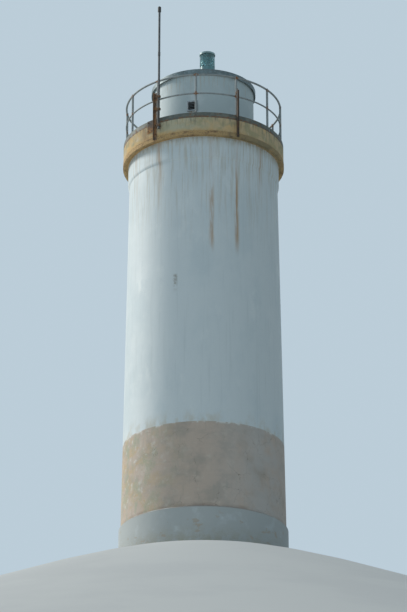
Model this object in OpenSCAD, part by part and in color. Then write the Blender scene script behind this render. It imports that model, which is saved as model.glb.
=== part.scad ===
// A small round headland light tower: a battered concrete shaft on a plinth, a railed gallery,
// a low drum with a roof, a beacon on the roof and a slim mast clamped beside the gallery.
// Lengths are millimetres. The axis is x = y = 0, the ground is z = 0 and the seaward side is -Y.

/* [Walls] */
// Radius of the battered wall at the ground
wall_foot_r = 1715; // [1600:5:1900]
// Radius of the battered wall under the gallery
wall_top_r = 1600; // [1500:5:1650]
// Radius of the hollow inside the tower
bore_r = 1320; // [1000:5:1400]
// Height of the plinth course
plinth_h = 850; // [650:10:1200]
// How far the plinth stands out from the wall foot
plinth_out = 30; // [10:5:120]
// Height of the sloping top edge of the plinth
plinth_bevel = 30; // [10:5:80]
// Height of the bare band above the plinth
band_h = 1800; // [1600:10:2400]
// Height of the white shaft above the band
shaft_h = 6450; // [4000:10:9000]
// Thickness of the ground floor
floor_h = 150; // [100:10:250]
// Gap left round the ground floor
floor_gap = 0.5; // [0.2:0.1:5]

/* [Entrance] */
// Width of the doorway in the wall
door_w = 860; // [700:10:1000]
// Height of the doorway above the floor
door_h = 2050; // [1850:10:2150]
// How far the lintel bears on the wall each side
lintel_bear = 150; // [80:10:250]
// How far the door frame is set back from the wall foot
door_setback = 120; // [90:5:200]
// Width of the door frame's posts
frame_t = 60; // [40:5:90]
// Depth of the door frame
frame_d = 90; // [60:5:140]
// Thickness of the door leaf
leaf_t = 45; // [30:1:55]
// Gap between the leaf and its frame
leaf_gap = 4; // [2:0.5:8]
// How far the leaf laps over the stop of its frame
leaf_lap = 14; // [8:1:25]
// Width of the rails and stiles round the leaf's panels
stile_w = 110; // [80:5:150]
// Depth of the leaf's panels
panel_depth = 10; // [4:1:14]
// Height of each hinge
hinge_h = 120; // [80:5:180]
// Radius of a hinge knuckle
knuckle_r = 9; // [6:0.5:12]
// Thickness of a hinge flap
flap_t = 5; // [3:0.5:8]
// Width of the plate behind the handle
backplate_w = 40; // [30:2:60]
// Height of the plate behind the handle
backplate_h = 180; // [120:10:240]
// How far the lever stands out from the leaf
lever_stand = 50; // [35:1:70]
// Length of the handle's lever
lever_l = 120; // [80:5:160]
// Radius of the handle's lever
lever_r = 9; // [6:0.5:12]

/* [Gallery] */
// Height of the collar under the gallery
collar_h = 500; // [200:10:900]
// How far the collar stands out from the wall top
collar_out = 35; // [15:5:40]
// Thickness of the gallery slab
slab_h = 400; // [200:10:500]
// How far the slab reaches beyond the wall top
slab_out = 145; // [130:5:300]
// Width of each leg of the slab's steel nosing
nosing_leg = 60; // [40:5:65]
// Height of the nosing on the slab's face
nosing_h = 90; // [60:5:130]
// Thickness of the nosing
nosing_t = 8; // [5:1:12]
// Width of the drip groove under the slab
drip_w = 14; // [8:1:20]
// Depth of the drip groove
drip_d = 12; // [6:1:20]
// Height of the toe board
toe_h = 120; // [80:5:160]
// Thickness of the toe board
toe_t = 8; // [5:1:10]
// Gap between two lengths of toe board
toe_gap = 12; // [4:1:30]
// Length of each leg of the cleats that hold the toe board to the slab
cleat_leg = 40; // [30:2:60]
// Thickness of the cleats
cleat_t = 5; // [4:0.5:8]
// How far each cleat stands from its railing post
cleat_side = 120; // [90:5:160]

/* [Railing] */
// Number of railing posts
post_n = 12; // [8:1:16]
// Turn of the posts from the seaward side
post_turn = -5.5; // [-10:0.5:10]
// Height of the top rail above the slab
top_rail_h = 1050; // [900:10:1200]
// Height of the middle rail above the slab
mid_rail_h = 600; // [450:10:700]
// How far the railing stands in from the slab's edge
rail_in = 56; // [52:1:90]
// Radius of the posts
post_r = 24; // [20:1:30]
// Radius of the top rail
top_rail_r = 21; // [15:0.5:23]
// Radius of the middle rail
mid_rail_r = 17; // [12:0.5:20]
// Side of a post's base plate
foot_w = 90; // [70:5:100]
// Thickness of a post's base plate
foot_t = 12; // [8:1:20]
// How far a post stands above the top rail
post_over = 30; // [10:5:60]

/* [Stays and mast] */
// Leg of the angle bars bolted outside the slab
stay_leg = 60; // [50:5:80]
// Thickness of the angle bars
stay_t = 7; // [5:1:10]
// How far the angle bars reach above the middle rail
stay_over = 130; // [80:5:250]
// How far the angle bars stand off the slab's face
stay_off = 20; // [12:1:40]
// Height of the packers and clamps behind the angle bars
packer_h = 50; // [30:5:70]
// Width of the packers and clamps behind the angle bars
packer_w = 42; // [30:2:50]
// Radius of the mast
mast_r = 24; // [18:1:30]
// Height of the mast's top above the slab
mast_top_h = 2800; // [1500:10:4000]
// How far the mast's foot hangs below the slab's top
mast_drop = 170; // [100:10:300]
// How far the mast's axis stands to the side of its angle bar
mast_side = 80; // [62:1:120]
// Space between the mast and the face of its angle bar
mast_off = 5; // [3:1:15]
// Thickness of the clamps round the mast
clamp_wall = 8; // [5:1:12]
// Thickness of the flat arms that carry the mast's clamps
arm_t = 14; // [10:1:20]
// Gap between each arm and the leg that stands out from its angle bar
clamp_gap = 2; // [1:0.5:6]
// Length of the sleeve where the mast's two tubes are joined
sleeve_l = 90; // [50:5:150]
// How far the sleeve stands out from the tube
sleeve_out = 4; // [2:0.5:8]
// Radius of the mast's tip
tip_r = 36; // [32:1:44]
// Length of the mast's tip
tip_l = 130; // [60:5:200]
// Gap between the rusted plate and its angle bar
plate_gap = 12; // [4:1:30]
// Width of the rusted plate on the slab's edge
plate_w = 190; // [100:10:240]
// Height of the rusted plate
plate_h = 290; // [200:10:320]
// Thickness of the rusted plate
plate_t = 10; // [6:1:16]

/* [Drum] */
// Radius of the drum
drum_r = 1100; // [1000:5:1250]
// Thickness of the drum's wall
drum_wall = 180; // [140:5:260]
// Height of the drum's wall
drum_h = 1390; // [1250:10:1800]
// Width of the drum's doorway
hatch_w = 560; // [450:10:640]
// Height of the drum's doorway
hatch_h = 1060; // [900:10:1080]
// Height of the step under the drum's doorway
hatch_step = 70; // [40:5:120]
// How far the drum's door frame is set back
hatch_setback = 62; // [50:2:90]
// Depth of the drum's door frame
hatch_frame_d = 70; // [60:2:100]
// Width of the drum's door frame
hatch_frame_t = 40; // [30:5:60]
// Width of the vent
vent_w = 230; // [160:10:260]
// Height of the vent
vent_h = 240; // [160:10:300]
// Height of the vent's centre above the slab
vent_z = 610; // [400:10:800]
// Turn of the vent from the seaward side
vent_turn = -12.5; // [-25:0.5:25]
// Width of the vent's rim
vent_rim = 22; // [14:1:30]
// Number of louvre blades
blade_n = 5; // [3:1:6]
// Thickness of a louvre blade
blade_t = 5; // [3:0.5:6]
// Slope of the louvre blades, in degrees
blade_slope = 35; // [25:1:45]

/* [Roof and beacon] */
// How far the roof reaches beyond the drum
eave_out = 40; // [20:5:80]
// Height of the roof's edge
eave_h = 90; // [60:5:140]
// Rise of the roof from its edge to its middle
roof_rise = 110; // [60:5:200]
// Thickness of the metal band round the roof's edge
eave_band_t = 6; // [4:1:10]
// How far the band hangs below the roof's edge
eave_band_drop = 20; // [10:1:30]
// Sideways place of the beacon on the roof
beacon_x = 85; // [0:5:200]
// Radius of the flat seat under the beacon
seat_r = 240; // [210:5:320]
// Height of the seat above the roof's middle
seat_up = 30; // [15:5:80]
// Radius of the pedestal's base flange
flange_r = 190; // [170:5:205]
// Thickness of the pedestal's flanges
flange_t = 14; // [8:1:20]
// Radius of the pedestal's tube
pedestal_r = 84; // [60:2:95]
// Height of the pedestal
pedestal_h = 330; // [200:10:450]
// Thickness of the pedestal's web plates
web_t = 10; // [6:1:16]
// Radius of the beacon's casing
casing_r = 166; // [158:2:188]
// Height of the beacon's casing
casing_h = 150; // [100:5:220]
// Width of the sloping top edge of the casing
casing_edge = 6; // [2:1:6]
// Radius of the lens at its glass wall
lens_r = 158; // [140:2:158]
// Thickness of the lens wall
lens_wall = 12; // [8:1:16]
// How far the lens rings stand out
ring_out = 9; // [5:1:12]
// Number of lens rings
ring_n = 9; // [5:1:13]
// Height of the lens
lens_h = 310; // [200:10:400]
// Radius of the cap
cap_r = 176; // [170:2:200]
// Height of the cap's rim
cap_rim = 40; // [25:5:80]
// Rise of the cap above its rim
cap_rise = 36; // [20:2:60]
// Radius of the lamp column inside the lens
lamp_r = 52; // [30:2:70]

/* [Hidden] */
$fn = 180;

// Directions, measured anticlockwise from +X
seaward = 270;
landward = 90;

// Levels
band_z = plinth_h;
shaft_z = plinth_h + band_h;
slab_z = shaft_z + shaft_h;
collar_z = slab_z - collar_h;
deck_z = slab_z + slab_h;
lintel_z = floor_h + door_h;
roof_z = deck_z + drum_h;
eave_z = roof_z + eave_h;
seat_z = eave_z + roof_rise + seat_up;
casing_z = seat_z + pedestal_h;
lens_z = casing_z + casing_h;
cap_z = lens_z + lens_h;

// Radii
plinth_r = wall_foot_r + plinth_out;
collar_r = wall_top_r + collar_out;
slab_r = wall_top_r + slab_out;
rail_r = slab_r - rail_in;
drum_bore_r = drum_r - drum_wall;
eave_r = drum_r + eave_out;
stay_r = slab_r + stay_off;

// A length that reaches past every outside face
past = 2 * plinth_r;
// A small overrun for cutting tools
over = 1;

// The door and the drum's door
door_y = wall_foot_r - door_setback;
lintel_w = door_w + 2 * lintel_bear;
hatch_y = drum_r - hatch_setback;
hatch_z = deck_z + hatch_step;

// The mast stands beside the left angle bar
bay = 360 / post_n;
stay_turns = [post_turn - bay, post_turn + bay];
mast_turn = stay_turns[0];
mast_radial = stay_r + stay_t + mast_off + mast_r;
mast_tangent = stay_leg / 2 + mast_side;
plate_turn = mast_turn - (stay_leg / 2 + plate_w / 2 + plate_gap) / slab_r * 180 / PI;

// Colours
white_paint = [0.86, 0.87, 0.85];
bare_concrete = [0.55, 0.52, 0.47];
slab_grey = [0.5, 0.52, 0.46];
rust = [0.35, 0.22, 0.14];
rail_grey = [0.55, 0.58, 0.58];
dark_steel = [0.22, 0.21, 0.2];
roof_grey = [0.3, 0.36, 0.37];
door_green = [0.24, 0.32, 0.3];
beacon_teal = [0.2, 0.34, 0.37];
glass_tint = [0.35, 0.6, 0.6];

function wall_r(z) = wall_foot_r - (wall_foot_r - wall_top_r) * z / slab_z;

// One quarter of a round wall whose outline is the child, from a start angle
module quarter(start) {
  rotate([0, 0, start])
    rotate_extrude(angle = 90)
      children();
}

// Places its child at a turn from the seaward side, with x pointing outwards and y to the right
module at_turn(turn) {
  rotate([0, 0, seaward + turn])
    children();
}

// Places its child at every railing post
module at_posts() {
  for (k = [0 : post_n - 1])
    at_turn(post_turn + k * bay)
      translate([rail_r, 0, deck_z])
        children();
}

// Places its child at the two angle bars
module at_stays() {
  for (turn = stay_turns)
    at_turn(turn)
      translate([stay_r, 0, 0])
        children();
}

module plinth_outline() {
  polygon([
    [bore_r, 0],
    [plinth_r, 0],
    [plinth_r, plinth_h - plinth_bevel],
    [wall_r(plinth_h), plinth_h],
    [bore_r, plinth_h]
  ]);
}

// A stretch of the battered wall between two heights
module wall_outline(z0, z1) {
  polygon([
    [bore_r, z0],
    [wall_r(z0), z0],
    [wall_r(z1), z1],
    [bore_r, z1]
  ]);
}

// A block on the landward side, centred on x = 0, that reaches past the wall
module landward_block(w, z0, z1) {
  translate([-w / 2, 0, z0])
    cube([w, past, z1 - z0]);
}

module doorway() {
  landward_block(door_w, -over, lintel_z);
}

module lintel_space() {
  landward_block(lintel_w, lintel_z, shaft_z + over);
}

module ground_floor() {
  color(slab_grey)
    cylinder(r = bore_r - floor_gap, h = floor_h);
}

module plinth_quarter(start) {
  color(white_paint)
    difference() {
      quarter(start)
        plinth_outline();
      doorway();
    }
}

module plain_plinth_quarter(start) {
  color(white_paint)
    quarter(start)
      plinth_outline();
}

module plinth_front_left() {
  plain_plinth_quarter(180);
}

module plinth_front_right() {
  plain_plinth_quarter(270);
}

module plinth_back_left() {
  plinth_quarter(90);
}

module plinth_back_right() {
  plinth_quarter(0);
}

module band_quarter(start) {
  color(bare_concrete)
    quarter(start)
      wall_outline(band_z, shaft_z);
}

module band_door_quarter(start) {
  color(bare_concrete)
    difference() {
      quarter(start)
        wall_outline(band_z, shaft_z);
      doorway();
      lintel_space();
    }
}

module band_front_left() {
  band_quarter(180);
}

module band_front_right() {
  band_quarter(270);
}

module band_back_left() {
  band_door_quarter(90);
}

module band_back_right() {
  band_door_quarter(0);
}

module door_lintel() {
  color(bare_concrete)
    intersection() {
      rotate_extrude()
        wall_outline(band_z, shaft_z);
      landward_block(lintel_w, lintel_z, shaft_z);
    }
}

module door_sill() {
  color(slab_grey)
    intersection() {
      rotate_extrude()
        plinth_outline();
      landward_block(door_w, 0, floor_h);
    }
}

// A door frame of two posts and a head, with a rebate for the leaf on its outer face
module frame_shape(w, h, d, t) {
  difference() {
    translate([-w / 2, -d, 0])
      cube([w, d, h]);
    translate([-w / 2 + t, -d - over, -over])
      cube([w - 2 * t, d + 2 * over, h - t + over]);
    translate([-w / 2 + t - leaf_lap, -leaf_t, -over])
      cube([w - 2 * t + 2 * leaf_lap, leaf_t + over, h - t + leaf_lap + over]);
  }
}

// A framed leaf with recessed panels, flush with the outer face of its frame
module leaf_shape(w, h, t, panels) {
  leaf_w = w - 2 * t + 2 * leaf_lap - 2 * leaf_gap;
  leaf_h = h - t + leaf_lap - 2 * leaf_gap;
  panel_w = leaf_w - 2 * stile_w;
  panel_h = (leaf_h - (panels + 1) * stile_w) / panels;
  translate([0, 0, leaf_gap])
    difference() {
      translate([-leaf_w / 2, -leaf_t, 0])
        cube([leaf_w, leaf_t, leaf_h]);
      for (k = [0 : panels - 1])
        translate([-panel_w / 2, -panel_depth, stile_w + k * (panel_h + stile_w)])
          cube([panel_w, panel_depth + over, panel_h]);
    }
}

// A butt hinge whose flaps lie on the outer faces of the frame and the leaf
module hinge(x, z, t) {
  flap_w = 2 * (t - leaf_lap);
  translate([x, 0, z - hinge_h / 2]) {
    translate([-flap_w / 2, 0, 0])
      cube([flap_w, flap_t, hinge_h]);
    translate([0, knuckle_r + flap_t / 4, 0])
      cylinder(r = knuckle_r, h = hinge_h);
  }
}

// A lever handle: a plate on the leaf, a spindle and a lever with a returned end
module handle(x, z) {
  translate([x, 0, z]) {
    translate([-backplate_w / 2, 0, -backplate_h / 2])
      cube([backplate_w, flap_t, backplate_h]);
    rotate([-90, 0, 0])
      cylinder(r = lever_r, h = lever_stand + lever_r);
    translate([0, lever_stand, 0])
      rotate([0, 90, 0])
        cylinder(r = lever_r, h = lever_l);
  }
}

module door_frame() {
  color(door_green)
    translate([0, door_y, floor_h])
      frame_shape(door_w, door_h, frame_d, frame_t);
}

module door_leaf() {
  color(door_green)
    translate([0, door_y, floor_h])
      leaf_shape(door_w, door_h, frame_t, 2);
}

module door_fittings() {
  side_x = door_w / 2 - frame_t + leaf_lap - leaf_gap / 2;
  color(dark_steel)
    translate([0, door_y, floor_h]) {
      for (z = [0.12, 0.5, 0.88])
        hinge(side_x, z * door_h, frame_t);
      handle(-door_w / 2 + frame_t + stile_w / 2, door_h / 2);
    }
}

module shaft_quarter(start) {
  color(white_paint)
    quarter(start)
      wall_outline(shaft_z, slab_z);
}

module shaft_front_left() {
  shaft_quarter(180);
}

module shaft_front_right() {
  shaft_quarter(270);
}

module shaft_back_left() {
  shaft_quarter(90);
}

module shaft_back_right() {
  shaft_quarter(0);
}

module gallery_collar() {
  color(white_paint)
    rotate_extrude()
      polygon([
        [wall_r(collar_z), collar_z],
        [collar_r, collar_z + 2 * (collar_r - wall_r(collar_z))],
        [collar_r, slab_z],
        [wall_r(slab_z), slab_z]
      ]);
}

module gallery_slab() {
  drip_outer = slab_r - nosing_leg - drip_w;
  color(slab_grey)
    rotate_extrude()
      polygon([
        [0, slab_z],
        [drip_outer - drip_w, slab_z],
        [drip_outer - drip_w, slab_z + drip_d],
        [drip_outer, slab_z + drip_d],
        [drip_outer, slab_z],
        [slab_r, slab_z],
        [slab_r, deck_z],
        [0, deck_z]
      ]);
}

module slab_nosing() {
  color(rust)
    rotate_extrude()
      polygon([
        [slab_r - nosing_leg, slab_z - nosing_t],
        [slab_r + nosing_t, slab_z - nosing_t],
        [slab_r + nosing_t, slab_z + nosing_h],
        [slab_r, slab_z + nosing_h],
        [slab_r, slab_z],
        [slab_r - nosing_leg, slab_z]
      ]);
}

// An angle cleat welded behind the toe board, with one leg down on the slab
module toe_cleat() {
  intersection() {
    translate([slab_r - toe_t - cleat_leg, -cleat_leg / 2, deck_z])
      difference() {
        cube([cleat_leg + toe_t, cleat_leg, cleat_leg]);
        translate([-over, -over, cleat_t])
          cube([cleat_leg - cleat_t + over, cleat_leg + 2 * over, cleat_leg]);
      }
    cylinder(r = slab_r - toe_t / 2, h = past + deck_z);
  }
}

// Flat bars bent to the slab's edge, one to a bay, each with a cleat near its two ends
module toe_board() {
  cleat_turn = cleat_side / slab_r * 180 / PI;
  color(dark_steel) {
    difference() {
      rotate_extrude()
        translate([slab_r - toe_t, deck_z])
          square([toe_t, toe_h]);
      for (k = [0 : post_n - 1])
        at_turn(post_turn + k * bay)
          translate([rail_r, -toe_gap / 2, deck_z - over])
            cube([2 * rail_in, toe_gap, toe_h + 2 * over]);
    }
    for (k = [0 : post_n - 1], side = [-1, 1])
      at_turn(post_turn + k * bay + side * cleat_turn)
        toe_cleat();
  }
}

module railing_posts() {
  color(rail_grey)
    at_posts() {
      translate([-foot_w / 2, -foot_w / 2, 0])
        cube([foot_w, foot_w, foot_t]);
      rotate_extrude()
        polygon([
          [0, 0],
          [post_r, 0],
          [post_r, top_rail_h + post_over - post_r / 3],
          [post_r * 2 / 3, top_rail_h + post_over],
          [0, top_rail_h + post_over]
        ]);
    }
}

// A ring of tube round the gallery, coped where it meets each post
module coped_rail(h, tube_r) {
  difference() {
    translate([0, 0, deck_z + h])
      rotate_extrude()
        translate([rail_r, 0])
          circle(r = tube_r);
    at_posts()
      translate([0, 0, h - 2 * tube_r])
        cylinder(r = post_r, h = 4 * tube_r);
  }
}

module mid_rail() {
  color(rail_grey)
    coped_rail(mid_rail_h, mid_rail_r);
}

module top_rail() {
  color(rail_grey)
    coped_rail(top_rail_h, top_rail_r);
}

// Angle bars outside the slab's face, with one leg standing out on their left edge
module outer_stays() {
  stay_top = deck_z + mid_rail_h + stay_over;
  color(dark_steel)
    at_stays()
      translate([0, 0, slab_z])
        linear_extrude(stay_top - slab_z)
          polygon([
            [0, -stay_leg / 2],
            [stay_leg, -stay_leg / 2],
            [stay_leg, -stay_leg / 2 + stay_t],
            [stay_t, -stay_leg / 2 + stay_t],
            [stay_t, stay_leg / 2],
            [0, stay_leg / 2]
          ]);
}

// Packers between each angle bar and the slab, and the clamp that holds the bar to its post
module stay_clamps() {
  packer_low = slab_z + nosing_h + packer_h;
  packer_high = deck_z - packer_h;
  clamp_z = deck_z + mid_rail_h + mid_rail_r + packer_h;
  color(rust) {
    difference() {
      at_stays()
        for (z = [packer_low, packer_high])
          translate([-2 * stay_off, -packer_w / 2, z - packer_h / 2])
            cube([2 * stay_off, packer_w, packer_h]);
      translate([0, 0, slab_z])
        cylinder(r = slab_r, h = slab_h);
    }
    difference() {
      at_stays()
        translate([rail_r - stay_r, -packer_w / 2, clamp_z - packer_h / 2])
          cube([stay_r - rail_r, packer_w, packer_h]);
      at_posts()
        cylinder(r = post_r, h = top_rail_h);
    }
  }
}

// A curved plate that laps over the slab's face and the toe board
module edge_plate() {
  plate_angle = plate_w / slab_r * 180 / PI;
  color(rust)
    at_turn(plate_turn - plate_angle / 2)
      rotate_extrude(angle = plate_angle)
        translate([slab_r, deck_z + toe_h - plate_h])
          square([plate_t, plate_h]);
}

// Two tubes joined end to end in a sleeve halfway between the top clamp and the thicker tip
module mast() {
  mast_l = mast_drop + mast_top_h;
  held_l = mast_drop + mid_rail_h;
  sleeve_low = (held_l + mast_l - tip_l - sleeve_l) / 2;
  color(dark_steel)
    at_turn(mast_turn)
      translate([mast_radial, mast_tangent, deck_z - mast_drop])
        rotate_extrude()
          polygon([
            [0, 0],
            [mast_r, 0],
            [mast_r, sleeve_low],
            [mast_r + sleeve_out, sleeve_low + sleeve_out],
            [mast_r + sleeve_out, sleeve_low + sleeve_l - sleeve_out],
            [mast_r, sleeve_low + sleeve_l],
            [mast_r, mast_l - tip_l],
            [tip_r, mast_l - tip_l],
            [tip_r, mast_l - tip_r / 2],
            [tip_r / 2, mast_l],
            [0, mast_l]
          ]);
}

// Flat arms on the face of the angle bar, each with a block at its end that grips the mast
module mast_clamps() {
  arm_y = stay_t - stay_leg / 2 + clamp_gap;
  block_y = mast_tangent - mast_r - clamp_wall;
  block_d = mast_off + 2 * mast_r + clamp_wall;
  color(rust)
    difference() {
      at_turn(mast_turn)
        for (z = [deck_z - mast_drop / 2, deck_z + mid_rail_h / 2, deck_z + mid_rail_h])
          translate([stay_r + stay_t, 0, z - packer_h / 2]) {
            translate([0, arm_y, 0])
              cube([arm_t, mast_tangent - arm_y, packer_h]);
            translate([0, block_y, 0])
              cube([block_d, 2 * (mast_r + clamp_wall), packer_h]);
          }
      at_turn(mast_turn)
        translate([mast_radial, mast_tangent, deck_z - mast_drop - over])
          cylinder(r = mast_r, h = mast_drop + mast_top_h);
    }
}

module drum_outline() {
  translate([drum_bore_r, deck_z])
    square([drum_wall, drum_h]);
}

// The opening for the vent's sleeve through the drum wall
module vent_space() {
  at_turn(vent_turn)
    translate([0, -vent_w / 2 + vent_rim, deck_z + vent_z - vent_h / 2 + vent_rim])
      cube([past, vent_w - 2 * vent_rim, vent_h - 2 * vent_rim]);
}

module hatchway() {
  landward_block(hatch_w, hatch_z, hatch_z + hatch_h);
}

module drum_front_quarter(start) {
  color(white_paint)
    difference() {
      quarter(start)
        drum_outline();
      vent_space();
    }
}

module drum_back_quarter(start) {
  color(white_paint)
    difference() {
      quarter(start)
        drum_outline();
      hatchway();
    }
}

module drum_front_left() {
  drum_front_quarter(180);
}

module drum_front_right() {
  color(white_paint)
    quarter(270)
      drum_outline();
}

module drum_back_left() {
  drum_back_quarter(90);
}

module drum_back_right() {
  drum_back_quarter(0);
}

// A louvred vent: a sleeve through the wall, a rim on its outer face and sloping blades
module drum_vent() {
  sleeve_w = vent_w - 2 * vent_rim;
  sleeve_h = vent_h - 2 * vent_rim;
  sleeve_t = 6;
  pitch = (sleeve_h - 2 * sleeve_t) / blade_n;
  blade_d = 1.1 * pitch;
  color(dark_steel)
    at_turn(vent_turn)
      translate([0, 0, deck_z + vent_z]) {
        difference() {
          union() {
            translate([drum_r - 2 * vent_rim, -vent_w / 2, -vent_h / 2])
              cube([3 * vent_rim, vent_w, vent_h]);
            translate([drum_bore_r, -sleeve_w / 2, -sleeve_h / 2])
              cube([drum_wall, sleeve_w, sleeve_h]);
          }
          translate([0, -sleeve_w / 2 + sleeve_t, -sleeve_h / 2 + sleeve_t])
            cube([past, sleeve_w - 2 * sleeve_t, sleeve_h - 2 * sleeve_t]);
          difference() {
            translate([drum_bore_r, -vent_w, -vent_h])
              cube([drum_wall, 2 * vent_w, 2 * vent_h]);
            translate([0, -sleeve_w / 2, -sleeve_h / 2])
              cube([past, sleeve_w, sleeve_h]);
          }
        }
        for (k = [0 : blade_n - 1])
          translate([drum_r - vent_rim, 0, -sleeve_h / 2 + sleeve_t + (k + 0.5) * pitch])
            rotate([0, blade_slope, 0])
              cube([blade_d, sleeve_w - sleeve_t, blade_t], center = true);
      }
}

module drum_door_frame() {
  color(door_green)
    translate([0, hatch_y, hatch_z])
      frame_shape(hatch_w, hatch_h, hatch_frame_d, hatch_frame_t);
}

module drum_door() {
  color(door_green)
    translate([0, hatch_y, hatch_z])
      leaf_shape(hatch_w, hatch_h, hatch_frame_t, 1);
}

module drum_door_fittings() {
  side_x = hatch_w / 2 - hatch_frame_t + leaf_lap - leaf_gap / 2;
  color(dark_steel)
    translate([0, hatch_y, hatch_z]) {
      for (z = [0.2, 0.8])
        hinge(side_x, z * hatch_h, hatch_frame_t);
      handle(-hatch_w / 2 + hatch_frame_t + stile_w / 2, hatch_h / 2);
    }
}

module drum_roof() {
  color(roof_grey) {
    rotate_extrude()
      polygon([
        [0, roof_z],
        [eave_r, roof_z],
        [eave_r, eave_z],
        [0, eave_z + roof_rise]
      ]);
    translate([beacon_x, 0, eave_z])
      cylinder(r = seat_r, h = seat_z - eave_z);
  }
}

module roof_band() {
  color(dark_steel)
    rotate_extrude()
      translate([eave_r, roof_z - eave_band_drop])
        square([eave_band_t, eave_h + eave_band_drop]);
}

// A tube between two flanges, stiffened by four web plates
module beacon_pedestal() {
  color(beacon_teal)
    translate([beacon_x, 0, seat_z]) {
      cylinder(r = flange_r, h = flange_t);
      cylinder(r = pedestal_r, h = pedestal_h);
      translate([0, 0, pedestal_h - flange_t])
        cylinder(r = casing_r, h = flange_t);
      for (a = [45 : 90 : 315])
        rotate([90, 0, a])
          linear_extrude(web_t, center = true)
            polygon([
              [0, 0],
              [flange_r * 0.9, 0],
              [flange_r * 0.9, 2 * flange_t],
              [pedestal_r, pedestal_h * 0.6],
              [0, pedestal_h * 0.6]
            ]);
    }
}

module beacon_casing() {
  color(beacon_teal)
    translate([beacon_x, 0, casing_z])
      rotate_extrude()
        polygon([
          [0, 0],
          [casing_r, 0],
          [casing_r, casing_h - 2 * casing_edge],
          [casing_r - casing_edge, casing_h],
          [0, casing_h]
        ]);
}

// A hollow drum lens, whose rings are wedges that point away from its middle height
module beacon_lens() {
  pitch = lens_h / (ring_n + 1);
  bore = lens_r - lens_wall;
  rings = [
    for (k = [0 : ring_n - 1])
      let (
        low = pitch * (k + 0.5),
        lean = (k + 0.5) / ring_n,
        peak = low + pitch * (0.15 + 0.7 * lean)
      )
      each [[lens_r, low + 0.05 * pitch], [lens_r + ring_out, peak], [lens_r, low + 0.95 * pitch]]
  ];
  color(glass_tint)
    translate([beacon_x, 0, lens_z])
      rotate_extrude()
        polygon(concat([[bore, 0], [lens_r, 0]], rings, [[lens_r, lens_h], [bore, lens_h]]));
}

module beacon_lamp() {
  color(rail_grey)
    translate([beacon_x, 0, lens_z])
      rotate_extrude()
        polygon([
          [0, 0],
          [lamp_r * 1.5, 0],
          [lamp_r * 1.5, lens_h * 0.1],
          [lamp_r, lens_h * 0.15],
          [lamp_r, lens_h * 0.85],
          [lamp_r * 1.5, lens_h * 0.9],
          [lamp_r * 1.5, lens_h],
          [0, lens_h]
        ]);
}

module beacon_cap() {
  color(rail_grey)
    translate([beacon_x, 0, cap_z])
      rotate_extrude()
        polygon([
          [0, 0],
          [cap_r, 0],
          [cap_r, cap_rim],
          [cap_r * 0.7, cap_rim + cap_rise * 0.7],
          [cap_r * 0.35, cap_rim + cap_rise],
          [0, cap_rim + cap_rise]
        ]);
}

ground_floor();
plinth_front_left();
plinth_front_right();
plinth_back_left();
plinth_back_right();
band_front_left();
band_front_right();
band_back_left();
band_back_right();
door_lintel();
door_sill();
door_frame();
door_leaf();
door_fittings();
shaft_front_left();
shaft_front_right();
shaft_back_left();
shaft_back_right();
gallery_collar();
gallery_slab();
slab_nosing();
toe_board();
railing_posts();
mid_rail();
top_rail();
outer_stays();
stay_clamps();
edge_plate();
mast();
mast_clamps();
drum_front_left();
drum_front_right();
drum_back_left();
drum_back_right();
drum_vent();
drum_door_frame();
drum_door();
drum_door_fittings();
drum_roof();
roof_band();
beacon_pedestal();
beacon_casing();
beacon_lens();
beacon_lamp();
beacon_cap();
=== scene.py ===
import math
from functools import partial, reduce

import bpy
from mathutils import Matrix, Vector, noise


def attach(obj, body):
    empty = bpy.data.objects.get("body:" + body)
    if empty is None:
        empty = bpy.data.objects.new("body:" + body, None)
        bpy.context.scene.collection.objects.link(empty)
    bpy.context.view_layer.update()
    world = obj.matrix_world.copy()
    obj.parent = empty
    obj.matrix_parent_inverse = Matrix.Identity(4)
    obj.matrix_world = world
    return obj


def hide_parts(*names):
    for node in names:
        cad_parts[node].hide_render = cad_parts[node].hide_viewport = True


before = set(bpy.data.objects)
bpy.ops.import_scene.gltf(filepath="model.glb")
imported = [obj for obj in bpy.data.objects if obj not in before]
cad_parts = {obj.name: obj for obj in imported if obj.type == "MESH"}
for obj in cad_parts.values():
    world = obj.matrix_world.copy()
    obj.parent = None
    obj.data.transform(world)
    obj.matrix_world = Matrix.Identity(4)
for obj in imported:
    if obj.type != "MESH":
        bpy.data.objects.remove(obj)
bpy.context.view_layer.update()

# Camera
# It stands 50 m seaward of the tower and 15.34 m below its foot, as the photographer did,
# and looks up at the middle of the tower without leaning.
camera_distance = 50.0
camera_drop = 15.34
camera_pitch = math.radians(23.0)
camera_lens = 150.0
bpy.ops.object.select_all(action="DESELECT")
bpy.ops.object.camera_add(location=(0.0, -camera_distance, -camera_drop),
                          rotation=(math.pi / 2 + camera_pitch, 0.0, 0.0))
camera = bpy.context.object
camera.data.lens = camera_lens
camera.data.clip_end = 2000.0
bpy.context.scene.camera = camera

# Studio floor
# A pale, plain floor. The camera is below the tower's foot, so the floor is a smooth round
# mound that falls away from the foot more steeply than the camera looks up.
mound_outline = [(1500.0, -40.4), (140.0, -40.4), (110.0, -39.6), (92.0, -37.0), (75.0, -31.5),
                 (50.0, -21.0), (20.0, -7.60), (8.0, -2.35), (4.40, -0.830), (3.40, -0.440),
                 (2.80, -0.225), (2.40, -0.105), (2.10, -0.038), (1.90, -0.010), (1.76, -0.002),
                 (0.0, -0.002)]
mound_sides = 256
merge_distance = 0.00002


def modelled(primitive, at=(0, 0, 0), **settings):
    """Adds a mesh with nothing else selected, and puts its place into the mesh."""
    bpy.ops.object.select_all(action="DESELECT")
    primitive(location=at, **settings)
    bpy.ops.object.transform_apply(location=True, rotation=True, scale=True)
    return bpy.context.object


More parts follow.
